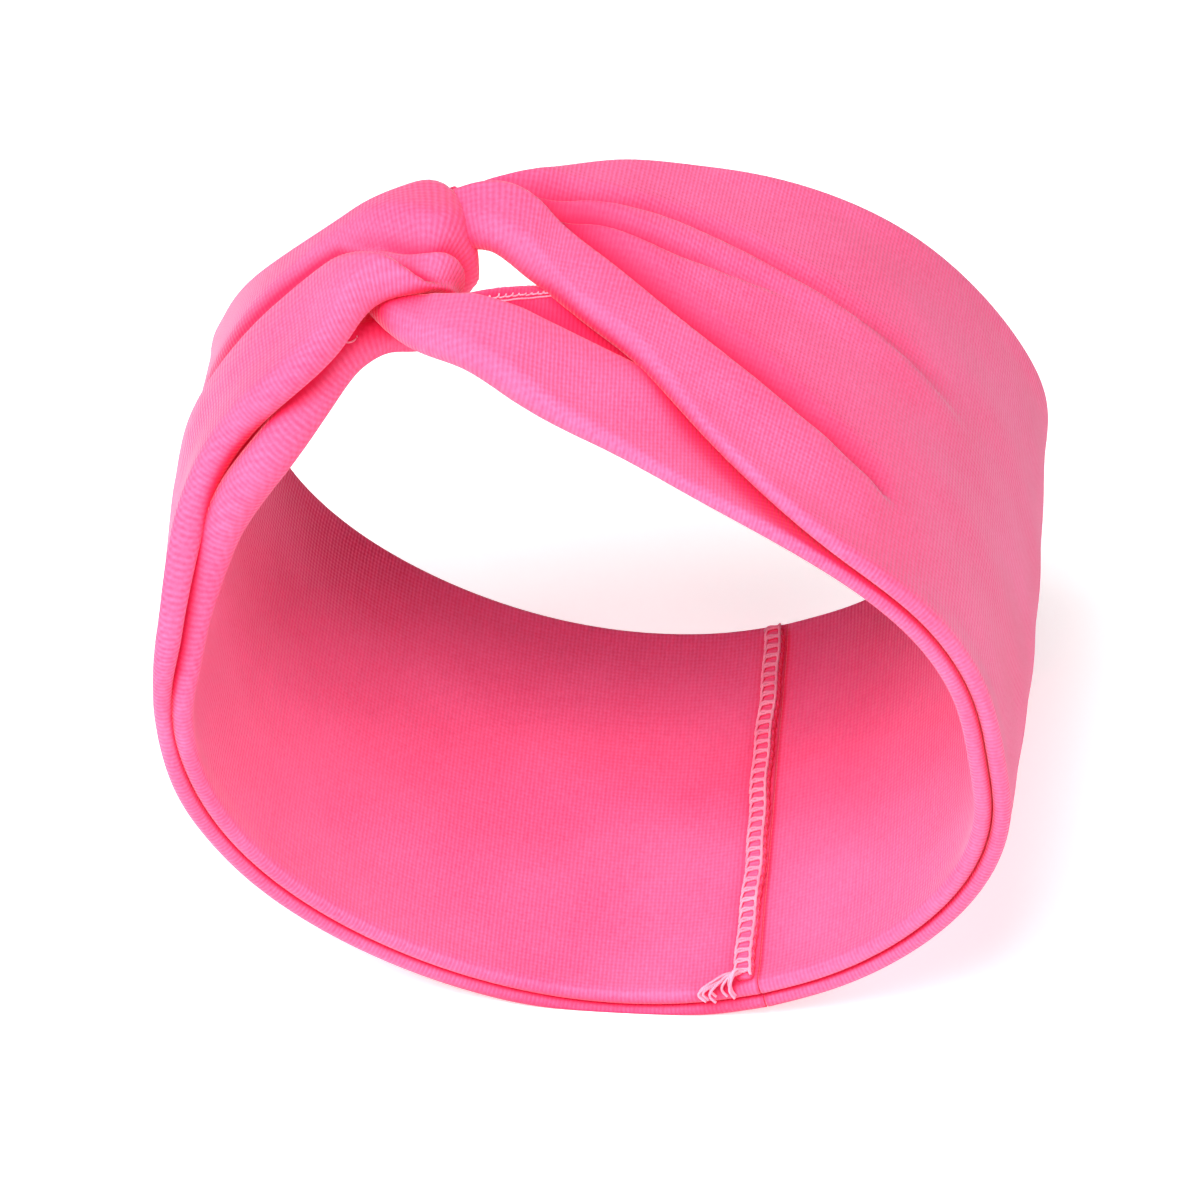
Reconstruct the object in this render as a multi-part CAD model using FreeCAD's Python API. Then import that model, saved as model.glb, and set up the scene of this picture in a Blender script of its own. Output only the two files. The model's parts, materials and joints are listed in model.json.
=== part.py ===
import FreeCAD, Part
import math
import os

# A knotted fabric sports headband, lying on the outside of its back panel.
# X runs across the ring, Y through the ring from its near rim to its far rim, Z is up.
# The origin is the middle of the flat that the band rests on. All lengths are millimetres.

# Ring: the line midway between the two fabric layers, seen along Y.
RING_CENTRE_X = -9.0
RING_CENTRE_Z = 61.4
RING_RADII = (52.8, 54.3, 64.0, 73.0, 70.6, 64.2, 58.9, 59.0, 64.3, 70.2, 70.2, 64.0)
RADIUS_STEP = 30.0        # degrees between two radii, clockwise from straight up
BAND_HALF_WIDTH = 49.0    # the rims lie this far each side of Y = 0

# Fabric: each strip is a flattened tube of knit, so each layer is two plies with rounded rims.
LAYER_THICKNESS = 2.6
LAYER_GAP = 1.2
BUNDLE_AREA = 160.0       # cross-section that a gathered strip can't shrink below

# Knot: two strips, each folded back on itself, linked like two links of a chain.
KNOT_ANGLE = -31.0        # where the knot sits on the ring
KNOT_Y = 13.0
KNOT_THICKNESS = 7.4      # depth of each gathered strip in the knot
LEFT_BEND_RADIUS = 8.7    # the left strip turns back inwards, round the right strip
LEFT_BEND_SHIFT = -1.4
LEFT_BEND_WIDTH = 15.6
RIGHT_BEND_RADIUS = 15.0  # the right strip turns back across the band, round the left strip
RIGHT_BEND_SHIFT = 9.7
RIGHT_BEND_WIDTH = 13.0
BEND_STEPS = 8

# Arms: (angle on the ring, height above the middle line, near edge Y, far edge Y).
RING_HEIGHT = (LAYER_THICKNESS + LAYER_GAP) / 2
LEFT_OUTER_ARM = (
    (-46.0, 7.2, -15.0, 28.0),
    (-58.0, 5.2, -22.0, 32.0),
    (-72.0, 3.2, -38.0, 42.0),
    (-88.0, RING_HEIGHT, -49.0, 49.0),
)
LEFT_INNER_ARM = (
    (-46.0, -7.2, -14.0, 34.0),
    (-58.0, -4.8, -26.0, 42.0),
    (-72.0, -2.8, -36.0, 48.0),
    (-88.0, -RING_HEIGHT, -49.0, 49.0),
)
RIGHT_OUTER_ARM = (
    (-8.0, 3.6, 5.0, 40.0),
    (8.0, 3.6, -11.0, 46.0),
    (24.0, 2.9, -30.0, 48.0),
    (45.0, 2.2, -45.0, 49.0),
    (68.0, RING_HEIGHT, -49.0, 49.0),
)
RIGHT_INNER_ARM = (
    (-8.0, -1.6, -22.0, 15.0),
    (8.0, -1.6, -30.0, 27.0),
    (24.0, -1.6, -37.0, 38.0),
    (45.0, -1.8, -45.0, 48.0),
    (68.0, -RING_HEIGHT, -49.0, 49.0),
)
ARM_STEP = 10.0           # degrees between sections on the plain part of the ring

# Back seam: the four strip ends are overlocked together and the allowance is pressed to the left.
SEAM_ANGLE = 150.0
SEAM_CLEARANCE = 0.2      # degrees from the middle of the seam to the end of each strip
ALLOWANCE_WIDTH = 4.0
ALLOWANCE_HEIGHT = 2.2
ALLOWANCE_SINK = 0.15     # the bar is let into the inner layer so that they are one solid
ALLOWANCE_OFFSET = 0.3
ALLOWANCE_END = 1.0       # how far the allowance stops short of each rim
BACK_STITCH_PITCH = 2.5
THREAD_RADIUS = 0.14
MITRED_CORNERS = 1        # the sweep's way of turning a corner
THREAD_LIFT = THREAD_RADIUS + 0.06
NEEDLE_LINE = 1.0         # distances to the left of the seam
NEEDLE_SWAY = 0.1
NEEDLE_GAP = 0.5
LOOPER_START = 1.5
LOOPER_END = 3.6
EDGE_LOW = 0.2            # shares of the allowance's height that the edge thread runs between
EDGE_HIGH = 0.85
LOOSE_TAIL = (            # left of the edge, lift off the inner layer, and out past the first stitch
    (6.0, 1.2, 2.6),
    (3.6, 1.0, 4.2),
    (1.6, 2.6, 3.0),
    (0.6, 1.4, 1.6),
)

# Lengthwise seams: one along each strip, on the face turned to the other layer.
LONG_STITCH_STEP = 3.0    # degrees of ring per stitch
LONG_SEAM_HALF_WIDTH = 2.0
LONG_SEAM_Y = 12.0
LONG_SEAM_HEIGHT = 0.28
LONG_SEAM_START = 3.0     # degrees between the back seam and the first stitch
LEFT_SEAM_ENDS = (-82.0, -82.0)
RIGHT_SEAM_ENDS = (62.0, 62.0)

FULL_TURN = 360.0
FLAT_CUT_SIZE = 200.0


def ring_radius(angle):
    """Radius at any angle: a smooth curve through the listed radii."""
    count = len(RING_RADII)
    place = (angle / RADIUS_STEP) % count
    index = int(place)
    part = place - index
    before = RING_RADII[index - 1]
    start = RING_RADII[index]
    end = RING_RADII[(index + 1) % count]
    after = RING_RADII[(index + 2) % count]
    slope_start = (end - before) / 2
    slope_end = (after - start) / 2
    square = part * part
    cube = square * part
    value = (2 * cube - 3 * square + 1) * start + (3 * square - 2 * cube) * end
    return value + (cube - 2 * square + part) * slope_start + (cube - square) * slope_end


def ring_middle(angle):
    """Point of the middle line at an angle, in the plane Y = 0."""
    turn = math.radians(angle)
    radius = ring_radius(angle)
    return FreeCAD.Vector(RING_CENTRE_X + radius * math.sin(turn), 0, RING_CENTRE_Z + radius * math.cos(turn))


def ring_along(angle):
    """Unit vector along the middle line, clockwise seen from the near side."""
    step = 0.5
    return (ring_middle(angle + step) - ring_middle(angle - step)).normalize()


def outward_of(along):
    """Unit vector out of the ring for a direction along it."""
    return FreeCAD.Vector(-along.z, 0, along.x)


def ring_point(angle, height, y):
    """Point at a height outside the middle line and a place across the band."""
    outward = outward_of(ring_along(angle))
    return ring_middle(angle) + outward * height + FreeCAD.Vector(0, y, 0)


def section(centre, across, through, width, thickness):
    """Closed outline of one flattened strip: straight faces and round folded edges."""
    half = thickness / 2
    side = across * (width / 2 - half)
    rise = through * half
    tip = across * (width / 2)
    far_edge = Part.Arc(centre + side + rise, centre + tip, centre + side - rise).toShape()
    lower = Part.makeLine(centre + side - rise, centre - side - rise)
    near_edge = Part.Arc(centre - side - rise, centre - tip, centre - side + rise).toShape()
    upper = Part.makeLine(centre - side + rise, centre + side + rise)
    return Part.Wire([far_edge, lower, near_edge, upper])


def arm_section(side, angle, height, near, far):
    """Section of an arm that follows the ring; a gathered arm is narrow and thick."""
    width = far - near
    thickness = max(LAYER_THICKNESS, BUNDLE_AREA / width)
    centre = ring_point(angle, height, (near + far) / 2)
    through = outward_of(ring_along(angle)) * side
    return section(centre, FreeCAD.Vector(0, 1, 0), through, width, thickness)


def plain_sections(start, end, side):
    """Full-width sections from one angle to another, both included, of the layer on one side."""
    count = max(1, round(abs(end - start) / ARM_STEP))
    angles = [start + (end - start) * step / count for step in range(count + 1)]
    height = side * RING_HEIGHT
    return [arm_section(side, angle, height, -BAND_HALF_WIDTH, BAND_HALF_WIDTH) for angle in angles]


def knot_frame():
    """Middle of the knot, with its directions along and out of the ring."""
    along = ring_along(KNOT_ANGLE)
    return ring_middle(KNOT_ANGLE) + FreeCAD.Vector(0, KNOT_Y, 0), along, outward_of(along)


def left_bend():
    """Sections of the left strip's turn, from the outside of the knot to its inside."""
    middle, along, outward = knot_frame()
    centre = middle + along * LEFT_BEND_SHIFT
    wires = []
    for step in range(BEND_STEPS + 1):
        turn = math.pi * step / BEND_STEPS
        reach = outward * math.cos(turn) + along * math.sin(turn)
        place = centre + reach * LEFT_BEND_RADIUS
        wires.append(section(place, FreeCAD.Vector(0, 1, 0), reach, LEFT_BEND_WIDTH, KNOT_THICKNESS))
    return wires


def right_bend():
    """Sections of the right strip's turn, from its far arm to its near arm."""
    middle, along, outward = knot_frame()
    centre = middle + along * RIGHT_BEND_SHIFT
    wires = []
    for step in range(BEND_STEPS + 1):
        turn = math.pi * step / BEND_STEPS
        reach = FreeCAD.Vector(0, math.cos(turn), 0) - along * math.sin(turn)
        place = centre + reach * RIGHT_BEND_RADIUS
        wires.append(section(place, reach, outward, RIGHT_BEND_WIDTH, KNOT_THICKNESS))
    return wires


def rest_flat(shape):
    """The strip with its underside cut flat where the band rests."""
    corner = FreeCAD.Vector(-FLAT_CUT_SIZE / 2, -FLAT_CUT_SIZE / 2, -FLAT_CUT_SIZE)
    below = Part.makeBox(FLAT_CUT_SIZE, FLAT_CUT_SIZE, FLAT_CUT_SIZE, corner)
    return shape.cut(below)


def seam_point(left, lift, y):
    """Point inside the ring at the back seam: so far to its left, and lifted off the inner layer."""
    face = RING_HEIGHT + LAYER_THICKNESS / 2
    return ring_point(SEAM_ANGLE, -face - lift, y) + ring_along(SEAM_ANGLE) * left


def allowance():
    """The raised seam allowance, a rounded bar along the inside of the back seam."""
    length = 2 * (BAND_HALF_WIDTH - ALLOWANCE_END)
    along = ring_along(SEAM_ANGLE)
    start = seam_point(ALLOWANCE_WIDTH / 2 + ALLOWANCE_OFFSET, ALLOWANCE_HEIGHT / 2 - ALLOWANCE_SINK, -length / 2)
    outline = section(start, along, outward_of(along), ALLOWANCE_WIDTH, ALLOWANCE_HEIGHT)
    return Part.Face(outline).extrude(FreeCAD.Vector(0, length, 0))


def left_strip():
    """The strip that covers the knot, with the seam allowance of the back seam."""
    seam = SEAM_ANGLE + SEAM_CLEARANCE - FULL_TURN
    full = LEFT_OUTER_ARM[-1][0] - ARM_STEP
    wires = plain_sections(seam, full, 1)
    wires += [arm_section(1, *place) for place in reversed(LEFT_OUTER_ARM)]
    wires += left_bend()
    wires += [arm_section(-1, *place) for place in LEFT_INNER_ARM]
    wires += plain_sections(full, seam, -1)
    return rest_flat(Part.makeLoft(wires, True)).fuse(allowance())


def right_strip():
    """The strip that fans out from the knot in an outer and an inner arm."""
    seam = SEAM_ANGLE - SEAM_CLEARANCE
    full = RIGHT_OUTER_ARM[-1][0] + ARM_STEP
    wires = plain_sections(seam, full, 1)
    wires += [arm_section(1, *place) for place in reversed(RIGHT_OUTER_ARM)]
    wires += right_bend()
    wires += [arm_section(1, *place) for place in RIGHT_INNER_ARM]
    wires += plain_sections(full, seam, -1)
    return rest_flat(Part.makeLoft(wires, True))


def thread(points):
    """A round thread along straight runs between the points, with mitred corners."""
    spine = Part.makePolygon(points)
    end = Part.Wire([Part.Circle(points[0], points[1] - points[0], THREAD_RADIUS).toShape()])
    return spine.makePipeShell([end], True, False, MITRED_CORNERS)


def back_rows():
    """The Y of each stitch of the back seam, near rim to far rim."""
    length = 2 * (BAND_HALF_WIDTH - ALLOWANCE_END) - BACK_STITCH_PITCH
    count = round(length / BACK_STITCH_PITCH)
    return [-length / 2 + row * BACK_STITCH_PITCH for row in range(count + 1)]


def back_needle_thread():
    """The straight row of stitches that holds the four strip ends together."""
    lift = ALLOWANCE_HEIGHT - ALLOWANCE_SINK + THREAD_LIFT
    points = []
    for y in back_rows():
        points.append(seam_point(NEEDLE_LINE, lift, y))
        points.append(seam_point(NEEDLE_LINE - NEEDLE_SWAY, lift + NEEDLE_SWAY, y + BACK_STITCH_PITCH / 2))
    return thread(points)


def back_upper_looper_thread():
    """The zigzag that lies over the allowance, needle line to free edge and back."""
    lift = ALLOWANCE_HEIGHT - ALLOWANCE_SINK + THREAD_LIFT
    points = []
    for y in back_rows():
        for step, left in enumerate((LOOPER_START, LOOPER_END, LOOPER_END, LOOPER_START)):
            points.append(seam_point(left, lift, y + BACK_STITCH_PITCH * step / 4))
    return thread(points)


def back_lower_looper_thread():
    """The thread that wraps the free edge of the allowance, with a loose tail at the near rim."""
    outside = ALLOWANCE_OFFSET + ALLOWANCE_WIDTH + THREAD_LIFT
    top = ALLOWANCE_HEIGHT - ALLOWANCE_SINK
    first = back_rows()[0]
    points = [seam_point(outside + left, lift, first - out) for left, lift, out in LOOSE_TAIL]
    for y in back_rows():
        points.append(seam_point(outside, top * EDGE_LOW, y))
        points.append(seam_point(outside, top * EDGE_HIGH, y + BACK_STITCH_PITCH / 2))
    return thread(points)


def long_seam_run(start, end, y, offsets):
    """One run of a lengthwise seam thread in the gap between the layers: offsets repeat."""
    count = round(abs(end - start) / LONG_STITCH_STEP) * len(offsets)
    points = []
    for step in range(count + 1):
        across, height = offsets[step % len(offsets)]
        points.append(ring_point(start + (end - start) * step / count, height, y + across))
    return thread(points)


def long_seam(seam_angle, ends):
    """The three threads of a strip's lengthwise seam; each has a run along both of its arms."""
    half = LONG_SEAM_HALF_WIDTH
    stitches = {
        "needle": ((half + NEEDLE_GAP, LONG_SEAM_HEIGHT), (half + NEEDLE_GAP + NEEDLE_SWAY, -LONG_SEAM_HEIGHT)),
        "upper_looper": [(side * half, LONG_SEAM_HEIGHT) for side in (-1, 1, 1, -1)],
        "lower_looper": [(side * half, -LONG_SEAM_HEIGHT) for side in (1, -1, -1, 1)],
    }
    threads = {}
    for name, offsets in stitches.items():
        outer_run = long_seam_run(seam_angle, ends[0], LONG_SEAM_Y, offsets)
        inner_run = long_seam_run(seam_angle, ends[1], -LONG_SEAM_Y, offsets)
        threads[name] = Part.makeCompound([outer_run, inner_run])
    return threads


def export(shape, name):
    """Write one sub-part."""
    shape.exportStep(os.path.join("parts", name + ".step"))


os.makedirs("parts", exist_ok=True)
export(left_strip(), "left_strip")
export(right_strip(), "right_strip")
export(back_needle_thread(), "back_seam_needle_thread")
export(back_upper_looper_thread(), "back_seam_upper_looper_thread")
export(back_lower_looper_thread(), "back_seam_lower_looper_thread")
for name, shape in long_seam(SEAM_ANGLE + LONG_SEAM_START - FULL_TURN, LEFT_SEAM_ENDS).items():
    export(shape, "left_strip_seam_" + name + "_thread")
for name, shape in long_seam(SEAM_ANGLE - LONG_SEAM_START, RIGHT_SEAM_ENDS).items():
    export(shape, "right_strip_seam_" + name + "_thread")
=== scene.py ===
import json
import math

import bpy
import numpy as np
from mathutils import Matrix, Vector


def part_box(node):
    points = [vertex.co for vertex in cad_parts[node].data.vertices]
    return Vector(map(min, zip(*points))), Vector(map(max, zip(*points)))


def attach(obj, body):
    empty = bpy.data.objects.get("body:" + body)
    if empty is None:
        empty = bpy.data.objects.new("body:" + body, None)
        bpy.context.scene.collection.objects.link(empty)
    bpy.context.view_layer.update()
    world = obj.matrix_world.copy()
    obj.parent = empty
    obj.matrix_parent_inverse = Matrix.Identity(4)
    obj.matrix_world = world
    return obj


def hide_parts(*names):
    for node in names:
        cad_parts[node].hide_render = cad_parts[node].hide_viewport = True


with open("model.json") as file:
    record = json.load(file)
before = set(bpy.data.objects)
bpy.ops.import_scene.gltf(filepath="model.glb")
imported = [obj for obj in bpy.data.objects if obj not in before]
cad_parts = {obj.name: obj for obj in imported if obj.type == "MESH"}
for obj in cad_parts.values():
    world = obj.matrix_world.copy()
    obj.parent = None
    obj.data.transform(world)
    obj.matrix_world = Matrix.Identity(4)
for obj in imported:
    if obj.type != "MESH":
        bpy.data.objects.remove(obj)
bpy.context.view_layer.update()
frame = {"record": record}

# Looks of the knotted sports headband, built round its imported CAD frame.
#
# Each fabric strip is a flattened tube of knit. It is laid out as rows of three points, near edge,
# middle and far edge, from the back seam up its outer arm, round the knot and down its inner arm.
# Lengths are millimetres until a mesh is made. Near is -Y, far is +Y.

MM = 0.001

# ---------------------------------------------------------------- sizes from the frame
left_low, left_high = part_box("left_strip")
opening = next(m for m in frame["record"]["mounts"] if m["name"] == "head_opening")
CENTRE_X = opening["pos_m"][0] / MM
CENTRE_Z = opening["pos_m"][2] / MM
RIM = (left_high.y - left_low.y) / 2 / MM

# From the ring's centre to the middle of its two layers, every 30 degrees clockwise from the top.
RING_RADII = np.array((52.8, 54.3, 64.0, 72.0, 71.3, 64.5, 59.5, 59.2, 64.7, 70.1, 70.2, 64.0))
FULL_TURN = 360.0
SEAM_ANGLE = 150.0
SEAM_GAP = 0.12         # degrees from the back seam to the end of each strip

PLY_SPREAD = 2.5        # thickness of one flattened strip away from its edges
EDGE_ROLL = 3.1         # thickness of its folded edges
LAYER_HEIGHT = 1.65     # each layer's middle lies this far from the ring's middle line
ROW_STEP = 10.0         # degrees between rows on the plain part of the ring
FAR_EXTRA = 0.7         # the plain part reaches this much further to the far rim than to the near rim

SIDE_FLARE = 2.2        # the right side leans out towards the far rim by this much, at its angle
FLARE_ANGLE = 88.0
FLARE_REACH = 13.0
SIDE_BOW = 2.2          # lower down, the right side bulges between its rims by this much
BOW_ANGLE = 100.0
BOW_REACH = 9.0

KNOT_ANGLE = -31.0


# ---------------------------------------------------------------- curves
def spline(knots, values, at):
    """Natural cubic spline through values at knots, sampled at the places in at."""
    knots = np.asarray(knots, float)
    values = np.asarray(values, float)
    count = len(knots)
    gap = np.diff(knots)
    shape = (-1,) + (1,) * (values.ndim - 1)
    slope = np.diff(values, axis=0) / gap.reshape(shape)
    system = np.eye(count)
    target = np.zeros_like(values)
    for i in range(1, count - 1):
        system[i, i - 1:i + 2] = gap[i - 1], 2 * (gap[i - 1] + gap[i]), gap[i]
        target[i] = 6 * (slope[i] - slope[i - 1])
    bend = np.linalg.solve(system, target.reshape(count, -1)).reshape(values.shape)
    where = np.clip(np.ravel(at), knots[0], knots[-1])
    i = np.clip(np.searchsorted(knots, where) - 1, 0, count - 2)
    a = ((knots[i + 1] - where) / gap[i]).reshape(shape)
    b = 1 - a
    square = (gap[i] ** 2 / 6).reshape(shape)
    curve = a * values[i] + b * values[i + 1]
    curve = curve + ((a ** 3 - a) * bend[i] + (b ** 3 - b) * bend[i + 1]) * square
    return curve.reshape(np.shape(at) + values.shape[1:])


def steps(points, at):
    """Smooth monotone blend through (place, value) points: each span eases in and out."""
    places, values = np.array(points, float).T
    at = np.clip(at, places[0], places[-1])
    i = np.clip(np.searchsorted(places, at) - 1, 0, len(places) - 2)
    part = (at - places[i]) / (places[i + 1] - places[i])
    return values[i] + (values[i + 1] - values[i]) * part * part * (3 - 2 * part)


def bell(distance, reach):
    """Bell curve that is 1 at distance 0."""
    return np.exp(-(distance / reach) ** 2)


def ring_radius(angle):
    """Radius of the ring's middle line, the smooth periodic curve through RING_RADII."""
    waves = np.fft.rfft(RING_RADII) / len(RING_RADII)
    turn = np.radians(angle)
    radius = np.full(np.shape(angle), waves[0].real)
    for k in range(1, len(waves) - 1):
        radius = radius + 2 * (waves[k].real * np.cos(k * turn) - waves[k].imag * np.sin(k * turn))
    return radius + waves[-1].real * np.cos((len(waves) - 1) * turn)


def ring_line(angle):
    """X and Z of the middle line."""
    turn = np.radians(angle)
    radius = ring_radius(angle)
    return CENTRE_X + radius * np.sin(turn), CENTRE_Z + radius * np.cos(turn)


def ring_outward(angle):
    """Unit direction out of the ring, as X and Z."""
    step = 0.25
    x0, z0 = ring_line(angle - step)
    x1, z1 = ring_line(angle + step)
    length = np.hypot(x1 - x0, z1 - z0)
    return -(z1 - z0) / length, (x1 - x0) / length


def flare(angle):
    """How much further out the far rim lies than the middle of the band."""
    turn = (angle + FULL_TURN / 2) % FULL_TURN - FULL_TURN / 2
    return SIDE_FLARE * bell(turn - FLARE_ANGLE, FLARE_REACH)


def ring_point(angle, height, y):
    """Point at a height outside the middle line."""
    x, z = ring_line(angle)
    out_x, out_z = ring_outward(angle)
    height = height + flare(angle) * y / RIM
    point = np.broadcast_arrays(x + height * out_x, y, z + height * out_z)
    return np.stack(point, axis=-1).astype(float)


def knot_point(along, outward, y):
    """Point by distances from the middle of the knot."""
    x, z = ring_line(KNOT_ANGLE)
    out_x, out_z = ring_outward(KNOT_ANGLE)
    return np.array((x + along * out_z + outward * out_x, y, z - along * out_x + outward * out_z))


# ---------------------------------------------------------------- rows of the strips
LEFT_PLAIN_END = -100.0     # where each strip starts to narrow towards the knot
RIGHT_PLAIN_END = 90.0


def arm_row(near, far, bow=0.0):
    """Row of an arm: near and far are (angle, height, y); the middle is halfway, bowed outwards."""
    middle = [(a + b) / 2 for a, b in zip(near, far)]
    middle[1] += bow
    return [ring_point(*near), ring_point(*middle), ring_point(*far)]


def knot_row(*points):
    """Row near the knot, from its near, middle and far points."""
    return [knot_point(*point) for point in points]


def plain_rows(start, end, height):
    """Straight rows right across the ring."""
    count = round(abs(end - start) / ROW_STEP)
    angles = np.linspace(start, end, count + 1)
    bows = SIDE_BOW * bell(angles - BOW_ANGLE, BOW_REACH)
    return [arm_row((angle, height, -RIM), (angle, height, RIM + FAR_EXTRA), bow)
            for angle, bow in zip(angles, bows)]


def left_rows():
    """Rows of the left strip: outer arm, over the knot, under the knot, inner arm."""
    seam = SEAM_ANGLE + SEAM_GAP - FULL_TURN
    rows = plain_rows(seam, LEFT_PLAIN_END, LAYER_HEIGHT)
    rows += [
        arm_row((-86.0, 1.6, -48.4), (-90.0, LAYER_HEIGHT, 48.8), 1.2),
        arm_row((-76.5, 1.9, -45.0), (-80.0, 1.8, 42.5), 0.6),
        arm_row((-67.5, 3.6, -28.6), (-70.0, 2.0, 34.0), 0.6),
        arm_row((-56.5, 4.0, -20.4), (-60.0, 2.6, 28.4), 0.6),
        arm_row((-47.0, 4.4, -18.2), (-51.0, 2.8, 25.0), 0.4),
        arm_row((-40.0, 4.6, -12.4), (-43.5, 3.0, 24.6), 0.6),
        knot_row((-4.5, 4.8, -3.0), (-5.5, 5.2, 12.0), (-6.5, 3.4, 25.4)),
        knot_row((1.0, 4.2, -1.0), (1.0, 5.8, 12.5), (-1.0, 4.2, 27.4)),
        knot_row((4.8, 2.8, 0.5), (5.6, 4.6, 11.5), (4.4, 3.8, 27.4)),
        knot_row((6.8, -0.8, 2.5), (7.6, 0.0, 9.0), (9.0, -0.5, 17.0)),
        knot_row((4.5, -5.0, 1.5), (5.2, -5.6, 10.0), (6.0, -5.2, 20.0)),
        knot_row((-0.5, -6.4, -0.5), (-1.0, -7.6, 12.0), (-0.5, -7.0, 27.0)),
        knot_row((-5.5, -4.8, -1.4), (-7.0, -7.2, 12.0), (-7.0, -6.6, 30.0)),
        arm_row((-41.0, -2.6, -7.0), (-44.0, -5.6, 34.0), -1.5),
        arm_row((-46.0, -2.4, -14.4), (-50.0, -5.0, 37.5), -1.5),
        arm_row((-53.0, -2.3, -23.4), (-56.0, -4.6, 40.5), -1.2),
        arm_row((-61.0, -2.2, -27.0), (-63.0, -3.8, 44.0), -0.8),
        arm_row((-70.0, -2.0, -31.0), (-71.0, -3.0, 46.6), -0.4),
        arm_row((-79.5, -1.9, -43.5), (-80.0, -2.1, 48.0)),
        arm_row((-90.0, -LAYER_HEIGHT, -48.8), (-90.0, -LAYER_HEIGHT, 49.0)),
    ]
    rows += plain_rows(LEFT_PLAIN_END, seam, -LAYER_HEIGHT)
    return np.array(rows)


def right_rows():
    """Rows of the right strip: outer arm, through the knot, inner arm.

    The strip turns over in the knot, so the inner arm's rows run from far to near.
    """
    seam = SEAM_ANGLE - SEAM_GAP
    rows = plain_rows(seam, RIGHT_PLAIN_END, LAYER_HEIGHT)
    rows += [
        arm_row((78.0, 1.7, -49.0), (80.0, 1.7, 49.0)),
        arm_row((62.0, 1.9, -48.4), (67.0, 1.9, 48.9)),
        arm_row((45.0, 2.4, -45.6), (52.0, 2.2, 48.6), 0.3),
        arm_row((31.0, 2.9, -36.0), (38.0, 2.6, 48.2), 0.6),
        arm_row((18.0, 3.0, -22.0), (24.0, 2.8, 47.8), 0.8),
        arm_row((6.0, 2.9, -9.0), (11.0, 2.8, 46.4), 1.0),
        arm_row((-4.0, 2.8, -1.6), (-1.0, 2.8, 43.0), 1.0),
        arm_row((-12.0, 2.6, 6.5), (-11.5, 2.4, 37.0), 0.6),
        knot_row((14.5, 1.8, 12.0), (14.0, 2.0, 22.5), (13.0, 1.8, 30.5)),
        knot_row((6.0, 0.8, 15.6), (5.5, 0.8, 24.0), (5.0, 0.8, 29.0)),
        knot_row((-2.0, 0.2, 18.5), (-5.0, 0.2, 22.5), (-7.5, 0.2, 26.5)),
        knot_row((-4.0, 0.0, 12.5), (-7.5, 0.0, 12.2), (-11.0, 0.0, 12.0)),
        knot_row((-1.0, -0.2, 4.8), (-2.2, -0.4, 1.0), (-3.2, -0.8, -4.2)),
        knot_row((5.0, -1.0, 1.8), (5.0, -1.2, -3.6), (4.0, -1.8, -10.6)),
        knot_row((12.0, -1.8, 3.2), (11.5, -1.4, -5.4), (11.0, -2.2, -15.4)),
    ]
    inner = [
        arm_row((-9.0, -2.0, -23.0), (-12.0, -1.8, 8.0), 1.0),
        arm_row((5.0, -2.0, -28.8), (1.0, -2.0, 17.4), 0.8),
        arm_row((18.0, -2.0, -34.9), (14.0, -2.0, 30.0), 0.5),
        arm_row((31.0, -1.9, -41.0), (30.0, -2.0, 42.0), 0.2),
        arm_row((46.0, -1.8, -45.9), (46.0, -1.8, 48.0)),
        arm_row((62.0, -LAYER_HEIGHT, -48.4), (62.0, -LAYER_HEIGHT, 49.0)),
        arm_row((78.0, -LAYER_HEIGHT, -49.0), (78.0, -LAYER_HEIGHT, 49.0)),
    ]
    inner += plain_rows(RIGHT_PLAIN_END, seam, -LAYER_HEIGHT)
    rows += [row[::-1] for row in inner]
    return np.array(rows)


# ---------------------------------------------------------------- strip surface
ROW_PITCH = 0.8         # between mesh rows along a strip
EDGE_COLUMNS = 8        # mesh columns round each half of a folded edge
FRONT_COLUMNS = 200     # mesh columns across the ply that faces out
BACK_COLUMNS = 70
BUNDLE_AREA = 190.0     # a gathered strip gets thicker as it gets narrower
BUNDLE_LIMIT = 7.0
ROLL_LIMIT = 0.98       # a folded edge is never thicker than this part of the strip's width
CREST_SHARE = 0.40      # part of a fold's depth that stands up as its crest
LAP_SHARE = 0.40        # how far a fold leans over, as a part of its depth
BACK_SHARE = 0.55       # how much of the folds shows on the back ply
FOLD_MARGIN = 2.5       # folds die out this close to an edge
SHADE_FULL_DEPTH = 3.2        # a fold this deep gets the full painted shade behind it
SHADE_FALL = 1.6         # how sharply the painted shade falls off
RIPPLE_SIZE = 0.35      # faint dents all over
RIPPLE_PITCH = 24.0
RIPPLE_MARGIN = 6.0     # dents die out this close to an edge
RIPPLE_WAVES = 7


def columns(half_width, roll_near, roll_far, count):
    """Places across each row, -1 at the near edge to 1 at the far edge, closer round the edges."""
    turn = np.linspace(0, math.pi / 2, EDGE_COLUMNS + 1)
    bite = 1 - np.cos(turn)
    near = -1 + np.outer(roll_near / 2 / half_width, bite)
    far = 1 - np.outer(roll_far / 2 / half_width, bite)
    share = np.linspace(0, 1, count + 1)[1:-1]
    middle = near[:, -1:] + (far[:, -1:] - near[:, -1:]) * share
    return np.concatenate((near, middle, far[:, ::-1]), axis=1)


def base_surface(lines, place):
    """Points at places across rows given by their near, middle and far lines."""
    near, middle, far = lines[:, 0, None], lines[:, 1, None], lines[:, 2, None]
    w = place[..., None]
    return near * w * (w - 1) / 2 + middle * (1 - w * w) + far * w * (w + 1) / 2


def unit(vectors):
    """Vectors scaled to length 1."""
    return vectors / np.linalg.norm(vectors, axis=-1, keepdims=True)


def surface_normals(points, facing):
    """Unit normals of a grid of points, turned to the side named by facing."""
    along = np.gradient(points, axis=0)
    across = np.gradient(points, axis=1)
    return facing * unit(np.cross(across, along))


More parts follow.
